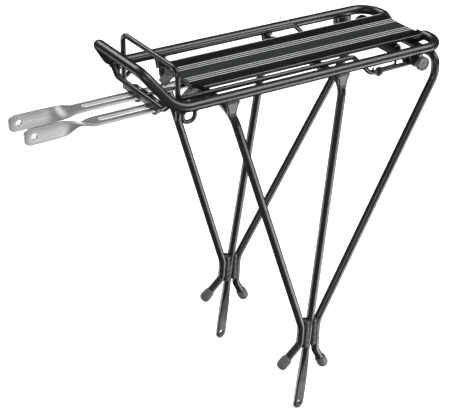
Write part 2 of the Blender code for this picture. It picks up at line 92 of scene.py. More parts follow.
# ------------------------------------------------------------------ materials
def surface(name, dark, light, rough, scale=60.0, stretch=(1, 1, 1), metal=0.0, bump=0.05,
            grain=1400.0, depth=0.0002, specks=None, fine_stretch=None):
    """Noise-mixed colour, uneven roughness and a fine bump; specks adds small pale scuffs."""
    made = bpy.data.materials.new(name)
    made.use_nodes = True
    tree = made.node_tree
    shader = tree.nodes["Principled BSDF"]
    shader.inputs["Metallic"].default_value = metal
    link = tree.links.new

    def node(kind, **values):
        made_node = tree.nodes.new(kind)
        for key, value in values.items():
            made_node.inputs[key].default_value = value
        return made_node

    place = tree.nodes.new("ShaderNodeTexCoord")
    stretch_map = node("ShaderNodeMapping", Scale=stretch)
    link(place.outputs["Object"], stretch_map.inputs["Vector"])
    broad = node("ShaderNodeTexNoise", Scale=scale, Detail=4.0, Roughness=0.6)
    link(stretch_map.outputs["Vector"], broad.inputs["Vector"])
    ramp = tree.nodes.new("ShaderNodeValToRGB")
    ramp.color_ramp.elements[0].position = 0.32
    ramp.color_ramp.elements[1].position = 0.70
    ramp.color_ramp.elements[0].color = (*dark, 1.0)
    ramp.color_ramp.elements[1].color = (*light, 1.0)
    link(broad.outputs["Fac"], ramp.inputs["Fac"])
    colour = ramp.outputs["Color"]
    if specks:
        fine = node("ShaderNodeTexNoise", Scale=specks[0], Detail=6.0, Roughness=0.75)
        link(place.outputs["Object"], fine.inputs["Vector"])
        pick = tree.nodes.new("ShaderNodeMapRange")
        pick.inputs["From Min"].default_value = specks[1]
        pick.inputs["From Max"].default_value = specks[1] + 0.06
        pick.inputs["To Max"].default_value = specks[2]
        link(fine.outputs["Fac"], pick.inputs["Value"])
        mix = tree.nodes.new("ShaderNodeMix")
        mix.data_type = "RGBA"
        link(pick.outputs["Result"], mix.inputs["Factor"])
        link(colour, mix.inputs["A"])
        mix.inputs["B"].default_value = (*specks[3], 1.0)
        colour = mix.outputs["Result"]
    link(colour, shader.inputs["Base Color"])

    spread = tree.nodes.new("ShaderNodeMapRange")
    spread.inputs["From Min"].default_value = 0.3
    spread.inputs["From Max"].default_value = 0.7
    spread.inputs["To Min"].default_value = rough[0]
    spread.inputs["To Max"].default_value = rough[1]
    uneven = node("ShaderNodeTexNoise", Scale=scale * 2.3, Detail=3.0)
    link(stretch_map.outputs["Vector"], uneven.inputs["Vector"])
    link(uneven.outputs["Fac"], spread.inputs["Value"])
    link(spread.outputs["Result"], shader.inputs["Roughness"])

    fine_map = node("ShaderNodeMapping", Scale=fine_stretch or stretch)
    link(place.outputs["Object"], fine_map.inputs["Vector"])
    tiny = node("ShaderNodeTexNoise", Scale=grain, Detail=2.0)
    link(fine_map.outputs["Vector"], tiny.inputs["Vector"])
    raised = node("ShaderNodeBump", Strength=bump, Distance=depth)
    link(tiny.outputs["Fac"], raised.inputs["Height"])
    link(raised.outputs["Normal"], shader.inputs["Normal"])
    return made


SCUFF = (0.06, 0.06, 0.062)
PAINT = surface("gloss black paint", (0.0075, 0.0075, 0.008), (0.012, 0.012, 0.0125), (0.26, 0.35), 45,
                bump=0.10, grain=1100, specks=(420, 0.70, 0.5, SCUFF))
WIRE_PAINT = surface("gloss black wire paint", (0.0075, 0.0075, 0.008), (0.0125, 0.0125, 0.013),
                     (0.27, 0.36), 70, bump=0.10, grain=1600, specks=(520, 0.69, 0.5, SCUFF))
WELD_PAINT = surface("painted weld", (0.014, 0.014, 0.0145), (0.030, 0.030, 0.031), (0.26, 0.40), 300,
                     bump=0.35, grain=900, depth=0.0004)
ANODISED = surface("black anodised extrusion", (0.0030, 0.0032, 0.0032), (0.0060, 0.0063, 0.0063),
                   (0.34, 0.46), 9, stretch=(1, 26, 26), bump=0.22, grain=160, depth=0.00012,
                   fine_stretch=(1, 30, 30), specks=(300, 0.71, 0.4, SCUFF))
FLAT = surface("anodised centre", (0.014, 0.017, 0.016), (0.021, 0.025, 0.0235), (0.42, 0.54), 8,
               stretch=(1, 30, 30), metal=0.1, bump=0.25, grain=150, depth=0.00012,
               fine_stretch=(1, 34, 34), specks=(260, 0.70, 0.5, (0.09, 0.09, 0.09)))
# painted highlight: the pale grey crest colour stands in for the lamps' reflection on the rounded tops of
# the ribs and the wing edge
CREST_PAINTED_HIGHLIGHT = surface("rib crest painted highlight", (0.27, 0.275, 0.275), (0.35, 0.355, 0.355), (0.42, 0.54), 12,
                stretch=(1, 20, 20), metal=0.15, bump=0.12, grain=150, fine_stretch=(1, 30, 30))
PLASTIC = surface("matt black plastic", (0.009, 0.009, 0.0095), (0.015, 0.015, 0.016), (0.46, 0.60), 90,
                  bump=0.30, grain=2600, depth=0.0002)
GREY = surface("matt grey plastic", (0.040, 0.040, 0.042), (0.060, 0.060, 0.062), (0.46, 0.60), 70,
               bump=0.35, grain=2400, depth=0.0002)
RUBBER = surface("dark ribbed rubber", (0.095, 0.095, 0.098), (0.140, 0.140, 0.144), (0.46, 0.62), 120,
                 bump=0.30, grain=2200, depth=0.0002)
SATIN = surface("satin aluminium", (0.20, 0.20, 0.206), (0.275, 0.275, 0.282), (0.36, 0.48), 14,
                stretch=(1, 18, 18), metal=0.62, bump=0.25, grain=170, depth=0.00015,
                fine_stretch=(1, 28, 28), specks=(260, 0.72, 0.5, (0.17, 0.17, 0.175)))
ZINC = surface("zinc plated steel", (0.30, 0.30, 0.31), (0.42, 0.42, 0.43), (0.28, 0.42), 160,
               metal=0.85, bump=0.15, grain=1500)
for dull in (ANODISED, FLAT):
    dull.node_tree.nodes["Principled BSDF"].inputs["Specular IOR Level"].default_value = 0.2
DARK_STEEL = surface("black spring steel", (0.008, 0.008, 0.0085), (0.016, 0.016, 0.017), (0.24, 0.36), 150,
                     bump=0.12, grain=1500)


# ------------------------------------------------------------------- geometry
def shape(name, verts, faces, *looks, smooth=35, which=None):
    """A mesh object from millimetre points; which gives each face's material number."""
    mesh = bpy.data.meshes.new(name)
    mesh.from_pydata([tuple(MM * c for c in v) for v in verts], [], faces)
    for look in looks:
        mesh.materials.append(look)
    if which:
        for face, number in zip(mesh.polygons, which):
            face.material_index = number
    work = bmesh.new()
    work.from_mesh(mesh)
    bmesh.ops.recalc_face_normals(work, faces=work.faces)
    work.to_mesh(mesh)
    work.free()
    mesh.shade_smooth()
    mesh.set_sharp_from_angle(angle=math.radians(smooth))
    obj = bpy.data.objects.new(name, mesh)
    bpy.context.scene.collection.objects.link(obj)
    return obj


def piece(obj, body, slot, *nodes):
    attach(obj, body)
    if nodes:
        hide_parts(*nodes)
    return obj


def rounded(points, radii, step=4.0):
    """The polyline with each inner corner replaced by an arc of the given radius."""
    points = [Vector(p) for p in points]
    path = [points[0]]
    for before, corner, after, radius in zip(points, points[1:], points[2:], radii):
        u = (before - corner).normalized()
        v = (after - corner).normalized()
        inner = math.acos(max(-1.0, min(1.0, u.dot(v))))
        turn = math.pi - inner
        if radius <= 0 or turn < 0.01:
            path.append(corner)
            continue
        centre = corner + (u + v).normalized() * (radius / math.sin(inner / 2))
        start = corner + u * (radius / math.tan(inner / 2)) - centre
        end = corner + v * (radius / math.tan(inner / 2)) - centre
        count = max(3, math.ceil(math.degrees(turn) / step))
        for i in range(count + 1):
            w = i / count
            arm = (start * math.sin((1 - w) * turn) + end * math.sin(w * turn)) / math.sin(turn)
            path.append(centre + arm)
    path.append(points[-1])
    return path


def on_side(points, sign):
    return [Vector((x, sign * y, z)) for x, y, z in points]


def frames(path):
    """Unit vectors across the path at each point, carried along it without twist."""
    side = None
    for i, point in enumerate(path):
        ahead = (path[min(i + 1, len(path) - 1)] - path[max(i - 1, 0)]).normalized()
        if side is None:
            side = ahead.orthogonal().normalized()
        side = (side - ahead * side.dot(ahead)).normalized()
        yield point, ahead, side, ahead.cross(side)


def bridged(rings):
    faces = []
    for low, high in zip(rings, rings[1:]):
        faces += [(low[i - 1], low[i], high[i], high[i - 1]) for i in range(len(low))]
    faces.append(tuple(reversed(rings[0])))
    faces.append(tuple(rings[-1]))
    return faces


def clean(path, least=0.02):
    kept = [path[0]]
    for point in path[1:]:
        if (point - kept[-1]).length > least:
            kept.append(point)
    return kept


def swept(path, radius, sides=28, dome=0.0):
    """(verts, faces) of a round bar along the path. radius may be a function of the distance along it."""
    path = clean([Vector(p) for p in path])
    verts, rings = [], []
    along = 0.0
    last = path[0]
    steps = list(frames(path))
    plan = []
    for point, ahead, side, other in steps:
        along += (point - last).length
        last = point
        plan.append((point, side, other, radius(along) if callable(radius) else radius))
    if dome:
        first, end = steps[0], steps[-1]
        r0, r1 = plan[0][3], plan[-1][3]
        bow = [(math.sin(a), math.cos(a)) for a in (0.35, 0.75, 1.15, 1.45)]
        head = [(first[0] - first[1] * dome * s, first[2], first[3], r0 * c) for s, c in reversed(bow)]
        tail = [(end[0] + end[1] * dome * s, end[2], end[3], r1 * c) for s, c in bow]
        plan = head + plan + tail
    for point, side, other, size in plan:
        rings.append(list(range(len(verts), len(verts) + sides)))
        for k in range(sides):
            a = math.tau * k / sides
            verts.append(point + size * (math.cos(a) * side + math.sin(a) * other))
    return verts, bridged(rings)


def joined(*parts):
    """Several (verts, faces) pairs as one."""
    verts, faces = [], []
    for more_verts, more_faces in parts:
        start = len(verts)
        verts += list(more_verts)
        faces += [tuple(i + start for i in face) for face in more_faces]
    return verts, faces


def ripple(path, radius, pitch=2.0, sides=16, depth=0.24, crown=0.6):
    """A weld bead: a bar along the path whose radius steps like overlapping coins, with tapered ends."""
    path = clean([Vector(p) for p in path])
    length = sum((b - a).length for a, b in zip(path, path[1:]))
    count = max(8, int(length / pitch) * 6)
    spots, along = [path[0]], 0.0
    goals = [length * i / count for i in range(1, count + 1)]
    for a, b in zip(path, path[1:]):
        run = (b - a).length
        while goals and goals[0] <= along + run + 1e-6:
            spots.append(a + (b - a) * ((goals.pop(0) - along) / run))
        along += run

    def size(s):
        w = (s / pitch) % 1.0
        swell = 1.04 - depth + depth * math.sin(math.pi * w) ** crown
        return radius * swell * min(1.0, 0.45 + s, 0.45 + length - s)

    return swept(spots, size, sides, dome=radius * 0.4)


def turned(profile, origin, axis, sides=48):
    """(verts, faces) of a solid of revolution from (radius, height) pairs."""
    turn = Vector((0, 0, 1)).rotation_difference(Vector(axis).normalized()).to_matrix()
    origin = Vector(origin)
    verts, rings = [], []
    for radius, height in profile:
        rings.append(list(range(len(verts), len(verts) + sides)))
        for i in range(sides):
            a = math.tau * i / sides
            spot = Vector((max(radius, 0.02) * math.cos(a), max(radius, 0.02) * math.sin(a), height))
            verts.append(origin + turn @ spot)
    return verts, bridged(rings)


def ring_body(profile, origin, axis, sides=48):
    """A turned ring: the closed (radius, height) outline goes round the axis."""
    verts, faces = turned(profile, origin, axis, sides)
    faces = faces[:-2]
    count = len(profile)
    last = (count - 1) * sides
    faces += [(last + i - 1 + (sides if i == 0 else 0), last + i, i, i - 1 + (sides if i == 0 else 0))
              for i in range(sides)]
    return verts, faces


def seen_above(a, b, along):
    """Places an outline drawn in X and Y, and extruded in Z."""
    return a, b, along


def seen_beside(a, b, along):
    """Places an outline drawn in X and Z, and extruded in Y."""
    return a, along, b


def slab(outline, low, high, place):
    """(verts, faces) of an outline extruded between low and high."""
    count = len(outline)
    verts = [Vector(place(a, b, c)) for c in (low, high) for a, b in outline]
    return verts, bridged([list(range(count)), list(range(count, 2 * count))])


def soften(obj, width, segments=3, angle=35):
    step = obj.modifiers.new("soft edges", "BEVEL")
    step.width = width * MM
    step.segments = segments
    step.limit_method = "ANGLE"
    step.angle_limit = math.radians(angle)
    step.harden_normals = False
    return obj


def carve(obj, *tools):
    """Cuts the (verts, faces) tools out of obj and keeps the result as its mesh."""
    helpers = []
    for i, (verts, faces) in enumerate(tools):
        helper = shape(f"tool_{obj.name}_{i}", verts, faces)
        helpers.append(helper)
        step = obj.modifiers.new("cut", "BOOLEAN")
        step.object = helper
        step.solver = "EXACT"
    bpy.context.view_layer.update()
    graph = bpy.context.evaluated_depsgraph_get()
    mesh = bpy.data.meshes.new_from_object(obj.evaluated_get(graph))
    old = obj.data
    obj.modifiers.clear()
    obj.data = mesh
    mesh.name = old.name
    bpy.data.meshes.remove(old)
    for helper in helpers:
        bpy.data.objects.remove(helper, do_unlink=True)
    mesh.shade_smooth()
    mesh.set_sharp_from_angle(angle=math.radians(35))
    return obj


def rod(point, axis, radius, half, sides=40):
    return turned([(radius, -half), (radius, half)], point, axis, sides)


# ------------------------------------------------------------ top tube frame
for word, sign in SIDES:
    ends = on_side([(RAIL_FRONT_X, RAIL_Y, RAIL_Z), (RAIL_REAR_X, RAIL_Y, RAIL_Z)], sign)
    spots = [ends[0] + (ends[1] - ends[0]) * (i / 30) for i in range(31)]
    piece(shape(f"top_rail_{word}", *swept(spots, RAIL_R, 40), PAINT), "rack", "black_tube", "rail_" + word)

half = [(RAIL_FRONT_X, RAIL_Y, RAIL_Z), (HOOP_KNEE_X, RAIL_Y, RAIL_Z), HOOP_TOP]
hoop = rounded(on_side(half, -1) + on_side(reversed(half), 1), (26, 13, 13, 26), 3)
piece(shape("hoop_tube", *swept(hoop, RAIL_R, 40), PAINT), "rack", "black_tube", "front_hoop")
half = [(RAIL_REAR_X, RAIL_Y, RAIL_Z), (LOOP_REAR_X, RAIL_Y, RAIL_Z),
        (LOOP_REAR_X, 32.5, RAIL_Z), (LOOP_REAR_X, 18.5, LOOP_DIP_Z)]
loop = rounded(on_side(half, -1) + on_side(reversed(half), 1), (22, 9, 9, 9, 9, 22), 4)
piece(shape("loop_tube", *swept(loop, RAIL_R, 40), PAINT), "rack", "black_tube", "rear_loop")


# ------------------------------------------------------------------------ legs
def leg_y(z):
    return LEG_TOP_Y + (CLUSTER_Y - LEG_TOP_Y) * (CROSS_Z - z) / (CROSS_Z - CLUSTER_Z)


front_x, middle_x, rear_x = CLUSTER_X
leg_routes = {
    "front": ([(FRONT_X, CROSS_HALF, CROSS_Z), (FRONT_X, LEG_TOP_Y, CROSS_Z), (front_x, leg_y(99), 99),
               FRONT_BEND, FRONT_TOE], (22, 22, 8)),
    "middle": ([(MIDDLE_X, CROSS_HALF, CROSS_Z), (MIDDLE_X, LEG_TOP_Y, CROSS_Z),
                (middle_x, CLUSTER_Y, CLUSTER_Z), (LEG_LEAN * LEG_END_Z, 76.8, LEG_END_Z)], (18, 60)),
    "rear": ([(REAR_X, CROSS_HALF, CROSS_Z), (REAR_X, 64.0, CROSS_Z), (REAR_X, 64.8, 349.0),
              (rear_x, leg_y(99), 99), REAR_BEND, REAR_TOE], (11, 22, 30, 14)),
}
leg_paths = {}
for row, (route, radii) in leg_routes.items():
    for word, sign in SIDES:
        path = rounded(on_side(route, sign), radii)
        leg_paths[row, word] = path
        piece(shape(f"{row}_strut_{word}", *swept(path, LEG_R, 36), PAINT), "rack", "black_tube",
              f"{row}_leg_{word}")
    x = {"front": FRONT_X, "middle": MIDDLE_X, "rear": REAR_X}[row]
    spots = [Vector((x, CROSS_HALF * (i / 10 - 1), CROSS_Z)) for i in range(21)]
    piece(shape(f"{row}_cross_bar", *swept(spots, LEG_R, 36), PAINT), "rack", "black_tube",
          f"{row}_cross_tube")

# weld beads in the valleys between the legs of each side
for word, sign in SIDES:
    for pair, (a, b) in (("front", (front_x, middle_x)), ("rear", (middle_x, rear_x))):
        mid = (a + b) / 2
        y = sign * CLUSTER_Y
        core = slab([(mid - 2.4, -2.2), (mid + 2.4, -2.2), (mid + 2.4, 2.2), (mid - 2.4, 2.2)],
                    WELD_LOW + 2.0, WELD_HIGH - 2.5, lambda p, q, r: (p, y + q, r))
        beads = []
        for out in (-1, 1):
            line = y + out * WELD_OUT
            bead_line = [(mid, line, WELD_LOW), (mid, line, WELD_HIGH)]
            verts, faces = ripple(bead_line, 4.2, 2.4, depth=0.42, crown=1.3)
            flattened = [Vector((v.x, line + WELD_FLATTEN * (v.y - line), v.z)) for v in verts]
            beads.append((flattened, faces))
        piece(shape(f"{pair}_bead_{word}", *joined(core, *beads), WELD_PAINT), "rack", "weld",
              f"{pair}_weld_{word}")

# -------------------------------------------------------- foot caps and eyelets
FOOT_CAP = [(0, -1), (4.6, -1), (4.9, 0.1), (5.5, 0.4), (5.85, 1.0), (5.95, 2.0), (5.7, 2.3), (5.7, 2.8),
            (6.0, 3.1), (6.0, 8.0), (5.9, 9.6), (5.6, 11.0), (4.9, 12.3), (3.9, 13.2), (2.6, 13.85),
            (1.2, 14.15), (0, 14.2)]
for word, sign in SIDES:
    for row, toe, before in (("front", FRONT_TOE, FRONT_BEND), ("rear", REAR_TOE, REAR_BEND)):
        start = on_side([toe], sign)[0]
        axis = (start - on_side([before], sign)[0]).normalized()
        piece(shape(f"{row}_foot_{word}", *turned(FOOT_CAP, start, axis), GREY), "rack", "grey_plastic",
              f"{row}_foot_cap_{word}")

# height, half width and half thickness of the flattened leg end
KEYS = ((LEG_END_Z, 4.25, 4.25), (61, 4.3, 4.2), (55, 4.6, 3.9), (40, 5.3, 3.0), (26, 5.8, 2.3),
        (16, 6.0, 2.1), (2, 6.0, 2.1), (-1.0, 5.95, 2.1), (-3.5, 5.5, 2.1), (-5.2, 4.6, 2.1),
        (-6.4, 3.4, 2.1), (-7.0, 2.2, 2.0))
EYELET_LEVELS = [LEG_END_Z - 1.6 * i for i in range(31)] + [15, 12, 9, 6, 3, 1.5, 0, -1, -2, -3, -4, -5,
                                                            -5.8, -6.4, -7.0]


def eyelet_size(z):
    for (z1, x1, y1), (z0, x0, y0) in zip(KEYS, KEYS[1:]):
        if z0 <= z <= z1:
            w = (z - z0) / (z1 - z0)
            return x0 + w * (x1 - x0), y0 + w * (y1 - y0)
    return KEYS[-1][1:]


for word, sign in SIDES:
    verts, rings = [], []
    for z in EYELET_LEVELS:
        half_x, half_y = eyelet_size(z)
        flat = max(0.0, min(1.0, (64 - z) / 26))
        power = 1.0 - 0.72 * flat
        centre = (LEG_LEAN * z, sign * (EYELET_Y - 0.9 * max(z - 16, 0) / 50))
        rings.append(list(range(len(verts), len(verts) + 40)))
        for i in range(40):
            a = math.tau * (i + 0.5) / 40
            c, s = math.cos(a), math.sin(a)
            dx = half_x * math.copysign(abs(c) ** (1 - 0.2 * flat), c)
            dy = half_y * math.copysign(abs(s) ** power, s)
            verts.append((centre[0] + dx, centre[1] + dy, z))
    tab = shape("dropout_eyelet_" + word, verts, bridged(rings), PAINT)
    bore = turned([(3.2, -6), (3.2, -2.0), (2.6, -1.4), (2.6, 1.4), (3.2, 2.0), (3.2, 6)],
                  (0, sign * EYELET_Y, 0), (0, 1, 0))
    piece(carve(tab, bore), "rack", "black_tube", "eyelet_" + word)

# --------------------------------------------------------------------- gussets
for row, x, lean in (("front", FRONT_X, 1.6), ("middle", MIDDLE_X - 3.0, 1.8)):
    for word, sign in SIDES:
        low, high = GUSSET_LOW, GUSSET_HIGH
        climb = [i / 10 for i in range(11)]
        left = [(x + lean - 3.3 - 3.5 * w ** 2.0, low + w * (high - low)) for w in climb]
        right = [(x + lean + 3.3 + 4.2 * w ** 2.0, low + w * (high - low)) for w in climb]
        outline = right + left[::-1]
        y0, y1 = sorted((sign * (RAIL_Y + 0.6), sign * (RAIL_Y + 4.9)))
        web = slab(outline, y0, y1, seen_beside)
        y = sign * (RAIL_Y + 4.3)
        seam = ripple([(left[-1][0] + 0.5, y, high - 1.4), (right[-1][0] - 0.5, y, high - 1.4)], 1.5, 1.8)
        inner, outer = y - sign * 1.2, y + sign * 0.6
        foot = ripple([(left[0][0] - 0.2, inner, low + 1.0), (left[1][0], outer, low + 0.2),
                       (right[1][0], outer, low + 0.2), (right[0][0] + 0.2, inner, low + 1.0)], 1.2, 1.7)
        ends = ripple([(left[0][0] - 0.2, y, low + 1), (left[5][0] - 0.3, y, low + 7.4),
                       (left[-1][0], y, high - 1.5)], 0.9, 1.6)
        back = ripple([(right[0][0] + 0.2, y, low + 1), (right[5][0] + 0.3, y, low + 7.4),
                       (right[-1][0], y, high - 1.5)], 0.9, 1.6)
        piece(shape(f"{row}_saddle_{word}", *joined(web, seam, foot, ends, back), WELD_PAINT), "rack",
              "black_tube", f"{row}_gusset_{word}")

# -------------------------------------------------- lower hoop, tie-down loops
route = [(LOWER_HOOP_X + 0.4, 52.5, 381.5), (LOWER_HOOP_X, 43.0, LOWER_HOOP_Z)]
path = rounded(on_side(route, -1) + on_side(reversed(route), 1), (7, 7), 5)
beads = []
for sign in (-1, 1):
    spot = Vector((-152.4, sign * 53.3, 382.2))
    across = Vector((1.0, 0.0, 0.0))
    span = across.cross(Vector((0, sign * 0.77, 0.64))).normalized()
    ring = [spot + 2.9 * (across * math.cos(a) + span * math.sin(a)) for a in
            [math.tau * i / 24 for i in range(24)]]
    beads.append(ripple(ring, 1.1, 1.5, 12))
piece(shape("lower_hoop_rod", *joined(swept(path, LOWER_ROD_R, 32, dome=1.5), *beads), PAINT), "rack",
      "black_tube", "lower_hoop")

for word, sign in SIDES:
    top = RAIL_Z - 3.6
    route = [(TIE_X0, TIE_Y, top), (TIE_X0, TIE_Y, TIE_LOW_Z),
             (TIE_X1, TIE_Y, TIE_LOW_Z), (TIE_X1, TIE_Y, top)]
    path = rounded(on_side(route, sign), (5.8, 5.8), 6)
    beads = []
    for x in (TIE_X0, TIE_X1):
        ring = [Vector((x + 2.5 * math.cos(a), sign * TIE_Y + 2.5 * math.sin(a), RAIL_Z - RAIL_R - 0.3))
                for a in [math.tau * i / 22 for i in range(22)]]
        beads.append(ripple(ring, 0.8, 1.3, 12))
    piece(shape("tie_eye_" + word, *joined(swept(path, TIE_R, 28), *beads), WIRE_PAINT), "rack",
          "black_wire", "tie_loop_" + word)

# ------------------------------------------------------------- accessory plate
FLAT_TOP = PLATE_TOP - 0.8
WING_TOP = PLATE_TOP - 0.5
UNDER = WING_TOP - WING_T


def rib(start, width=2.1):
    """One rounded rib of the extrusion, as points across it with the crest's faces marked for the painted
    highlight.
    """
    points = []
    for i in range(9):
        a = math.pi * i / 8
        height = FLAT_TOP - 0.15 + 0.95 * math.sin(a) ** 0.8
        points.append((start + width / 2 - width / 2 * math.cos(a), height, 2 if 2 <= i <= 5 else 0))
    return points


# each point across the plate carries the material of the face after it: 0 black, 1 centre, 2 crest with
# painted highlight
right = [(0.0, FLAT_TOP, 1), (7.9, FLAT_TOP, 1)]
for i in range(3):
    right += rib(8.3 + 3.8 * i)
# the wing's outer edge also takes the crest material, a painted highlight along that edge
right += [(18.6, FLAT_TOP - 0.15, 0), (19.0, WING_TOP - 0.15, 0), (19.4, WING_TOP, 0),
          (32.5, WING_TOP, 0), (32.9, WING_TOP + 0.1, 0), (33.2, WING_TOP + 0.5, 2),
          (33.5, WING_TOP + 0.6, 2),
          (34.1, WING_TOP + 0.6, 0), (34.4, WING_TOP + 0.45, 0), (PLATE_HALF, WING_TOP + 0.1, 0),
          (PLATE_HALF, UNDER + 0.3, 0), (34.2, UNDER, 0), (22.6, UNDER, 0), (21.6, UNDER - 0.8, 0),
          (21.6, PLATE_FEET_Z, 0), (18.6, PLATE_FEET_Z, 0), (18.6, UNDER - 0.4, 0), (0.0, UNDER - 0.4, 0)]
left = [(-y, z, 0) for y, z, _ in reversed(right[1:-1])]
marks = [m for _, _, m in right]
mirror_marks = [m for _, _, m in reversed(right[:-1])]
outline = [(y, z) for y, z, _ in right] + [(y, z) for y, z, _ in left]
around = marks[:-1] + [0] + mirror_marks[1:]
stations = [PLATE_X0 + (PLATE_X1 - PLATE_X0) * i / 24 for i in range(25)]
count = len(outline)
verts, rings = [], []
for x in stations:
    rings.append(list(range(len(verts), len(verts) + count)))
    verts += [(x, y, z) for y, z in outline]
faces, which = [], []
for low, high in zip(rings, rings[1:]):
    for i in range(count):
        faces.append((low[i], low[(i + 1) % count], high[(i + 1) % count], high[i]))
        which.append(around[i] if i < len(around) else 0)
faces += [tuple(reversed(rings[0])), tuple(rings[-1])]
which += [0, 0]
plate = shape("ribbed_plate", verts, faces, ANODISED, FLAT, CREST_PAINTED_HIGHLIGHT, which=which)
tools = []
for sign in (-1, 1):
    corner = [(PLATE_X0 - 1, sign * 36.5), (PLATE_X0 - 1, sign * 24.5), (PLATE_X0 + 8.5, sign * 36.5)]
    tools.append(slab(corner, 365, 390, seen_above))
for x0, x1 in ((PLATE_X0 - 1, -101.0), (AXLE_X - 13, AXLE_X + 13), (158.0, PLATE_X1 + 1)):
    tools.append(slab([(x0, -24), (x1, -24), (x1, 24), (x0, 24)], 368, UNDER - 0.45, seen_above))
tools.append(swept(loop, RAIL_R + 0.15, 40))
piece(carve(plate, *tools), "rack", "plate", "accessory_plate")


def block(name, outline, low, high, look, width):
    """A softened block: an outline in X and Z, extruded in Y."""
    return soften(shape(name, *slab(outline, low, high, seen_beside), look), width)


lip = [(PLATE_X0 - 2.3, 377.6), (PLATE_X0 + 0.5, 377.6), (PLATE_X0 + 0.5, 378.6), (PLATE_X0 - 0.1, 381.3),
       (PLATE_X0 - 1.6, 381.3), (PLATE_X0 - 2.3, 380.4)]
piece(block("plate_nose", lip, -24.0, 24.0, PLASTIC, 0.35), "rack",
      "black_plastic", "plate_front_lip")
for word, sign in SIDES:
    x = PLATE_X1 + 0.2
    y0, y1 = sorted((sign * 22.0, sign * 29.5))
    stop = [(x, 377.6), (x + 2.3, 377.6), (x + 2.3, 382.3), (x + 1.6, 383.1), (x + 0.7, 383.4), (x, 383.3)]
    piece(block("plate_end_stop_" + word, stop, y0, y1, PLASTIC, 0.4), "rack",
          "black_plastic", "plate_stop_" + word)

# ridged rubber supports: serrations run along the slope
for word, sign in SIDES:
    teeth = []
    ridges, half_w = 7, 4.2
    pitch = 2 * half_w / ridges
    for i in range(ridges):
        y = -half_w + pitch * i
        teeth += [(y, 2.1), (y + pitch * 0.28, 2.85), (y + pitch * 0.62, 2.85)]
    outline = [(-half_w, -2.9), (half_w, -2.9), (half_w, 2.1)] + [(-y, z) for y, z in teeth]
    tilt = Matrix.Rotation(math.radians(-40), 3, "Y")
    centre = Vector((-111.4, sign * 20.9, 372.0))
    body = slab(outline, -7.0, 7.0, lambda p, q, r: centre + tilt @ Vector((r, p, q)))
    collar = slab([(-4.6, -3.1), (4.6, -3.1), (4.6, 1.4), (-4.6, 1.4)], -7.2, -5.2,
                  lambda p, q, r: centre + tilt @ Vector((r, p, q)))
    piece(soften(shape("ridged_support_" + word, *joined(body, collar), RUBBER, smooth=20), 0.18, 2), "rack",
          "grey_rubber", "plate_support_" + word)

# -------------------------------------------------- stay bracket, clamps, brace
bar_x0, bar_x1 = LOWER_HOOP_X - 0.5, CLAMP_X + 7.0
bar_low = STAY_Z + STAY_T / 2 + 0.3
bar_top = bar_low + 2.6
lip_x, lip_top = LOWER_HOOP_X + 1.8, LOWER_HOOP_Z - 3.0
angle = [(bar_x0, bar_low), (bar_x1, bar_low), (bar_x1, bar_top), (lip_x + 0.5, bar_top),
         (lip_x, bar_top + 0.4), (lip_x, lip_top), (bar_x0, lip_top)]
bracket = shape("stay_angle", *slab(angle, -BAR_HALF, BAR_HALF, seen_beside), PAINT)
holes = [rod((CLAMP_X, sign * STAY_Y, bar_low), (0, 0, 1), 3.0, 6) for sign in (-1, 1)]
ends = []
for sign in (-1, 1):
    corner = [(bar_x1 + 1, sign * 34), (bar_x1 + 1, sign * 28), (bar_x1 - 5, sign * 34)]
    ends.append(slab(corner, 360, 372,
                     seen_above))
bracket = carve(bracket, *holes, *ends)
piece(soften(bracket, 0.3, 2), "rack", "black_tube", "stay_bracket")
brace_z = bar_top + 0.3 + BRACE_R
spots = [Vector((lip_x - 0.4 + (FRONT_X - 3.0 - lip_x + 0.4) * i / 12, 0, brace_z)) for i in range(13)]
piece(shape("brace_rod", *swept(spots, BRACE_R, 20), WIRE_PAINT), "rack", "black_wire", "bracket_brace")

stay_low = STAY_Z - STAY_T / 2


def hexagon(x, y, radius, shift):
    """A hexagon's corners, turned by that share of a side."""
    angles = [math.tau * (i + shift) / 6 for i in range(6)]
    return [(x + radius * math.cos(a), y + radius * math.sin(a)) for a in angles]


for word, sign in SIDES:
    x, y = CLAMP_X, sign * STAY_Y
    shank = bar_top - stay_low + 6.0
    profile = [(0, -shank), (2.1, -shank), (2.5, -shank + 0.5), (2.5, 0.2), (3.9, 0.2), (3.9, 1.0),
               (3.8, 1.5), (3.5, 2.2), (3.0, 2.8), (2.5, 3.1), (1.9, 3.3), (0, 3.3)]
    bolt = shape("bolt_" + word, *turned(profile, (x, y, bar_top), (0, 0, 1)), ZINC)
    hexed = hexagon(x, y, 1.45, 0)
    bolt = carve(bolt, slab(hexed, bar_top + 1.4, bar_top + 5, seen_above))
    piece(bolt, "clamp_" + word, "steel", "clamp_bolt_" + word)
    base = stay_low - 0.3
    washer = ring_body([(2.6, 0), (5.6, 0), (5.6, 1.0), (2.6, 1.0)], (x, y, base), (0, 0, -1))
    hexed = hexagon(x, y, 5.1, 0.5)
    body = slab(hexed, base - 4.2, base - 1.0, seen_above)
    nut = shape("nut_" + word, *joined(washer, body), ZINC)
    piece(soften(nut, 0.35, 2), "clamp_" + word, "steel", "clamp_nut_" + word)


# ----------------------------------------------------------------------- stays
def strap_section(x, y, turn, wide, thick):
    """A rectangle with softly rounded corners, turned about the strip's length."""
    ring = []
    r = min(0.55, thick / 2 - 0.05)
    for cx, cy, a0 in ((1, 1, 0), (-1, 1, 90), (-1, -1, 180), (1, -1, 270)):
        for i in range(4):
            a = math.radians(a0 + 30 * i)
            u = cx * (wide / 2 - r) + r * math.cos(a)
            v = cy * (thick / 2 - r) + r * math.sin(a)
            ring.append((x, y + u * math.cos(turn) - v * math.sin(turn),
                         STAY_Z + u * math.sin(turn) + v * math.cos(turn)))
    return ring


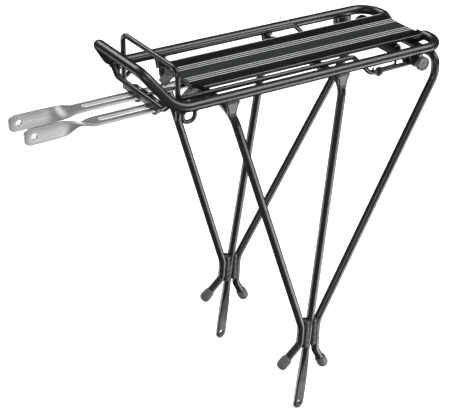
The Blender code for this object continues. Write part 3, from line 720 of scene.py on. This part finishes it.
for word, sign in SIDES:
    y = sign * STAY_Y
    upright = sign * math.pi / 2
    plan = []
    for i in range(13):
        w = math.sin(math.pi / 2 * i / 12)
        x = STAY_X0 + 6.5 * (1 - math.cos(math.pi / 2 * i / 12))
        plan.append((x, 7.0 + (STAY_W - 7.0) * w, upright))
    plan += [(x, STAY_W, upright) for x in (-270, -264, -258, -252)]
    for i in range(29):
        w = i / 28
        ease = w * w * (3 - 2 * w)
        x = TWIST_X0 + w * (TWIST_X1 - TWIST_X0)
        plan.append((x, STAY_W - 1.6 * math.sin(math.pi * w), upright * (1 - ease)))
    plan += [(x, STAY_W, 0.0) for x in range(-205, -94, 8)]
    for i in range(13):
        w = math.cos(math.pi / 2 * i / 12)
        x = STAY_X1 - 6.0 * (1 - math.sin(math.pi / 2 * i / 12))
        plan.append((x, 6.0 + (STAY_W - 6.0) * w, 0.0))
    verts, rings = [], []
    for x, wide, turn in plan:
        rings.append(list(range(len(verts), len(verts) + 16)))
        verts += strap_section(x, y, turn, wide, STAY_T)
    strip = shape("strap_" + word, verts, bridged(rings), SATIN)
    half_slot = SLOT_W / 2
    outline = []
    for cx, a0 in ((SLOT_X1 - half_slot, -90), (SLOT_X0 + half_slot, 90)):
        for i in range(21):
            a = math.radians(a0 + 9 * i)
            outline.append((cx + half_slot * math.cos(a), y + half_slot * math.sin(a)))
    slot_tool = slab(outline, STAY_Z - 6, STAY_Z + 6, seen_above)
    hole = rod((STAY_HOLE_X, y, STAY_Z), (0, 1, 0), 3.0, 6)
    strip = carve(strip, slot_tool, hole)
    piece(soften(strip, 0.22, 2, 50), "stay_" + word, "stay_silver", "stay_" + word)

# --------------------------------------------------------- bail pivot and bail
AXLE_CAP = [(0, 0.1), (6.4, 0.1), (6.9, 0.35), (7.3, 0.9), (7.4, 1.6), (7.4, 4.1), (7.25, 4.7), (6.9, 5.1),
            (6.4, 5.2), (6.0, 5.12), (5.6, 4.75), (5.2, 4.6), (2.4, 4.5), (2.0, 4.55), (1.6, 4.9),
            (0.9, 5.0), (0, 5.0)]
for word, sign in SIDES:
    y0, y1 = sorted((sign * 57.2, sign * 61.2))
    low = AXLE_Z - 6.6
    outline = [(AXLE_X - 9.5, 376.4), (AXLE_X - 8.6, low + 6.6)]
    for i in range(13):
        a = math.radians(200 + 140 * i / 12)
        outline.append((AXLE_X + 6.7 * math.cos(a), AXLE_Z + 6.6 * math.sin(a)))
    outline += [(AXLE_X + 6.9, low + 6.6), (AXLE_X + 7.0, 376.4)]
    lug = shape("pivot_lug_" + word, *slab(outline, y0, y1, seen_beside), PAINT)
    lug = carve(lug, rod((AXLE_X, sign * 59.2, AXLE_Z), (0, 1, 0), AXLE_R + 0.3, 9))
    piece(soften(lug, 0.5), "rack", "black_tube", "pivot_bracket_" + word)
    cap_end = (AXLE_X, sign * AXLE_END, AXLE_Z)
    cap = shape("pivot_cap_" + word, *turned(AXLE_CAP, cap_end, (0, sign, 0), 56), GREY)
    piece(cap, "rack", "grey_plastic", "axle_cap_" + word)

spots = [Vector((AXLE_X, -AXLE_END + 4.4 * i, AXLE_Z)) for i in range(31)]
collars = []
for sign in (-1, 1):
    collars.append(ring_body([(3.0, 0), (4.6, 0), (4.9, 0.3), (4.9, 2.4), (4.6, 2.7), (3.0, 2.7)],
                             (AXLE_X, sign * 62.4, AXLE_Z), (0, sign, 0)))
piece(shape("pivot_rod", *joined(swept(spots, AXLE_R, 32), *collars), DARK_STEEL), "rack", "black_steel",
      "pivot_axle")

route = [(BAIL_X, BAIL_Y, BAIL_FOOT), (BAIL_X - 1.0, BAIL_Y, BAIL_TOP)]
path = rounded(on_side(route, -1) + on_side(reversed(route), 1), (8, 8), 5)
piece(shape("bail_frame", *swept(path, BAIL_R, 32, dome=1.6), WIRE_PAINT), "bail", "black_wire",
      "bail_upright")

WRAP_R = AXLE_R + 0.25 + ARM_R
for word, sign in SIDES:
    route = [(BAIL_X + 1.0, BAIL_Y, ARM_Z), (61.0, BAIL_Y, ARM_Z), (85.0, BAIL_Y, ARM_LOW_Z),
             (AXLE_X, BAIL_Y, AXLE_Z - WRAP_R)]
    path = rounded(on_side(route, sign), (9, 13), 5)
    for i in range(1, 40):
        a = math.radians(-90 + 12 * i)
        y = BAIL_Y - 4.9 * 12 * i / 360
        path.append(Vector((AXLE_X + WRAP_R * math.cos(a), sign * y, AXLE_Z + WRAP_R * math.sin(a))))
    weld = ripple([Vector((BAIL_X + 2.6, sign * BAIL_Y + 2.6 * math.cos(a), ARM_Z + 2.6 * math.sin(a)))
                   for a in [math.tau * i / 24 for i in range(24)]], 0.9, 1.3, 12)
    piece(shape("bail_rod_" + word, *joined(swept(path, ARM_R, 28, dome=1.2), weld), WIRE_PAINT), "bail",
          "black_wire", "bail_arm_" + word)
    lean = Vector((math.sin(math.radians(74)), 0, math.cos(math.radians(74))))
    across = Vector((lean.z, 0, -lean.x))
    sleeve = ring_body([(2.5, -2.0), (3.6, -2.0), (4.2, -1.5), (4.2, 1.5), (3.6, 2.0), (2.5, 2.0)],
                       (97.0, sign * BAIL_Y, ARM_LOW_Z + 0.1), lean)
    hook = []
    for i in range(31):
        a = math.radians(-30 + 9 * i)
        hook.append(Vector((95.2 - 0.12 * i, sign * BAIL_Y, ARM_LOW_Z + 0.1))
                    + 4.4 * (Vector((0, sign, 0)) * math.cos(a) + across * math.sin(a)))
    tang = [hook[-1] + Vector((-2.2, sign * 1.4, -1.6)), hook[-1] + Vector((-4.6, sign * 1.6, -2.2))]
    wire = swept(hook + tang, 1.0, 14, dome=0.6)
    piece(shape("bail_tie_" + word, *joined(sleeve, wire), WIRE_PAINT), "bail", "black_wire",
          "bail_clip_" + word)

# ------------------------------------------------------------- torsion springs
COIL_R, WIRE_R, TURNS, PITCH, COIL_Y = 5.5, 1.25, 9, 2.75, 2.4


def smooth_route(points, per=8):
    """A Catmull-Rom curve through the points."""
    points = [Vector(p) for p in points]
    line = [points[0] * 2 - points[1]] + points + [points[-1] * 2 - points[-2]]
    path = []
    for a, b, c, d in zip(line, line[1:], line[2:], line[3:]):
        for i in range(per):
            t = i / per
            path.append(0.5 * ((2 * b) + (c - a) * t + (2 * a - 5 * b + 4 * c - d) * t * t
                               + (3 * b - a - 3 * c + d) * t ** 3))
    path.append(points[-1])
    return path


for word, sign in SIDES:
    points = [Vector((REAR_X - LEG_R - 0.3, sign * COIL_Y, AXLE_Z + COIL_R - 1.0))]
    for i in range(TURNS * 28 + 10):
        a = math.radians(60) + math.tau * i / 28
        y = COIL_Y + PITCH * i / 28
        points.append(Vector((AXLE_X + COIL_R * math.cos(a), sign * y, AXLE_Z + COIL_R * math.sin(a))))
    piece(shape("coil_" + word, *swept(points, WIRE_R, 18, dome=0.6), DARK_STEEL), "rack", "black_steel",
          "torsion_spring_" + word)
    y = COIL_Y + PITCH * (TURNS + 0.36) + 0.6
    route = [(AXLE_X - COIL_R * 0.2, y - 0.6, AXLE_Z + COIL_R),
             (AXLE_X - COIL_R * 0.8, y, AXLE_Z + COIL_R * 0.6), (AXLE_X - COIL_R, y + 0.4, AXLE_Z - 0.6),
             (AXLE_X - 7.2, y + 4.0, AXLE_Z - 3.4),
             (AXLE_X - 12.0, BAIL_Y - 9.0, ARM_LOW_Z + 1.4), (AXLE_X - 19.0, BAIL_Y - 4.6, ARM_LOW_Z + 0.2),
             (101.0, BAIL_Y - 4.3, ARM_LOW_Z), (96.0, BAIL_Y - 3.9, ARM_LOW_Z + 0.2)]
    path = smooth_route(on_side(route, sign))
    piece(shape("coil_lead_" + word, *swept(path, WIRE_R, 18, dome=0.6), DARK_STEEL), "bail", "black_steel",
          "spring_lead_" + word)

# ------------------------------------------------------ camera, floor and light
SENSOR_MM = 36.0
FOCAL_WIDTHS = 1269.0 / 450.0
camera_data = bpy.data.cameras.new("camera")
camera_data.sensor_fit = "HORIZONTAL"
camera_data.sensor_width = SENSOR_MM
camera_data.lens = FOCAL_WIDTHS * SENSOR_MM
camera_data.clip_end = 50.0
camera = bpy.data.objects.new("camera", camera_data)
bpy.context.scene.collection.objects.link(camera)
view = Matrix(((0.83514, 0.24863, -0.49064, -0.69760),
               (-0.54934, 0.42183, -0.72130, -0.94822),
               (0.02763, 0.87192, 0.48887, 0.86549),
               (0, 0, 0, 1)))
camera.matrix_world = view
bpy.context.scene.camera = camera

FLOOR_REACH, FLOOR_GAP = 12.0, 0.0005
floor_look = surface("pale floor", (0.86, 0.86, 0.86), (0.88, 0.88, 0.88), (0.75, 0.85), 6, bump=0.02,
                     grain=60)
floor_mesh = bpy.data.meshes.new("floor")
reach = FLOOR_REACH
level = cad_box[0][2] - FLOOR_GAP
floor_mesh.from_pydata([(-reach, -reach, level), (reach, -reach, level), (reach, reach, level),
                        (-reach, reach, level)], [], [(0, 1, 2, 3)])
floor_mesh.materials.append(floor_look)
floor = bpy.data.objects.new("floor", floor_mesh)
bpy.context.scene.collection.objects.link(floor)


RACK_MIDDLE = Vector((0, 0, 0.25))


def aimed(obj, forward):
    """Links a lamp's object and turns it to shine that way."""
    bpy.context.scene.collection.objects.link(obj)
    obj.rotation_euler = Vector(forward).to_track_quat("-Z", "Y").to_euler()
    return obj


def softbox(name, azimuth, elevation, away, size, power):
    """An area lamp that far from the rack's middle, at compass angles in degrees, facing it."""
    a, e = math.radians(azimuth), math.radians(elevation)
    place = Vector((math.cos(e) * math.cos(a), math.cos(e) * math.sin(a), math.sin(e))) * away + RACK_MIDDLE
    lamp = bpy.data.lights.new(name, "AREA")
    lamp.shape = "RECTANGLE"
    lamp.size, lamp.size_y = size
    lamp.energy = power
    obj = aimed(bpy.data.objects.new(name, lamp), RACK_MIDDLE - place)
    obj.location = place
    obj.visible_camera = False


# upright tubes mirror what lies below the horizon, so two boxes stand low and the floor lets them through
softbox("low right box", -46, -28, 2.4, (2.2, 1.0), 50)
softbox("front box", -140, 13, 2.6, (1.3, 0.9), 17)
softbox("low left box", -222, -28, 2.4, (0.9, 1.0), 24)
for name, strength, spread, direction in (("sky panel", 3.1, 44, (0.50, -0.42, 0.76)),
                                          ("back panel", 1.9, 36, (-0.16, 0.72, 0.68))):
    panel = bpy.data.lights.new(name, "SUN")
    panel.energy = strength
    panel.angle = math.radians(spread)
    aimed(bpy.data.objects.new(name, panel), -Vector(direction))
floor.visible_glossy = False
floor.visible_shadow = False

WORLD_STRENGTH = 0.85
world = bpy.data.worlds.new("studio")
world.use_nodes = True
backdrop = world.node_tree.nodes["Background"]
backdrop.inputs["Color"].default_value = (1, 1, 1, 1)
backdrop.inputs["Strength"].default_value = WORLD_STRENGTH
bpy.context.scene.world = world
world.cycles_visibility.glossy = False
bpy.context.scene.view_settings.view_transform = "Standard"
